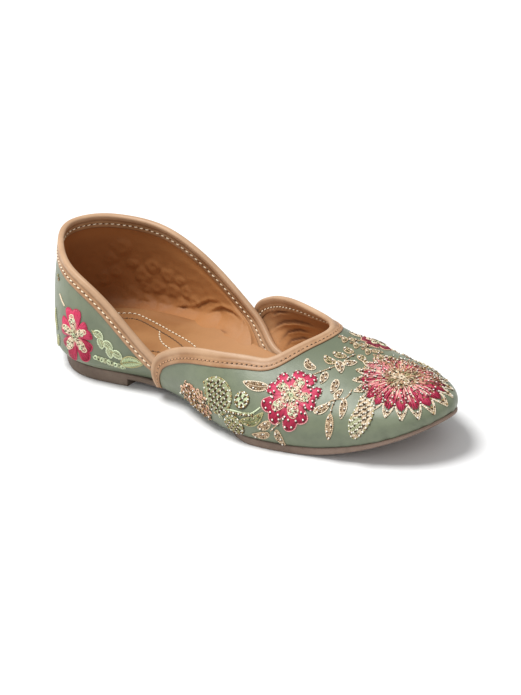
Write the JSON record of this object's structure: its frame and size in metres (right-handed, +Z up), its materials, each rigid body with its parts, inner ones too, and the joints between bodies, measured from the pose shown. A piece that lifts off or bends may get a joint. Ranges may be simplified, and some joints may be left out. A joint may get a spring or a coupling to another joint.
{
  "type": "embroidered ballet flat",
  "caption": "Slip-on flat for the right foot, cut low at the sides: embroidered leather vamp and quarter, folded leather bindings, insole and low moulded sole.",
  "frame": {"origin": "on the floor, under the middle of the whole shoe's box", "axes": "+X to the toe, +Y to the inner side of the foot (the wearer's left), +Z up"},
  "size_m": [0.2546, 0.095, 0.0663],
  "materials": {
    "outsole": "matte taupe-brown moulded rubber",
    "insole": "soft tan leather over thin foam",
    "quarter": "satin sage-green coated leather with a tan lining",
    "vamp": "satin sage-green coated leather with a tan lining",
    "quarter_binding": "satin tan leather",
    "vamp_binding": "satin tan leather"
  },
  "bodies": {
    "root": {"outsole": "outsole", "insole": "insole", "quarter": "quarter", "vamp": "vamp", "quarter_binding": "quarter_binding", "vamp_binding": "vamp_binding"}
  },
  "joints": []
}
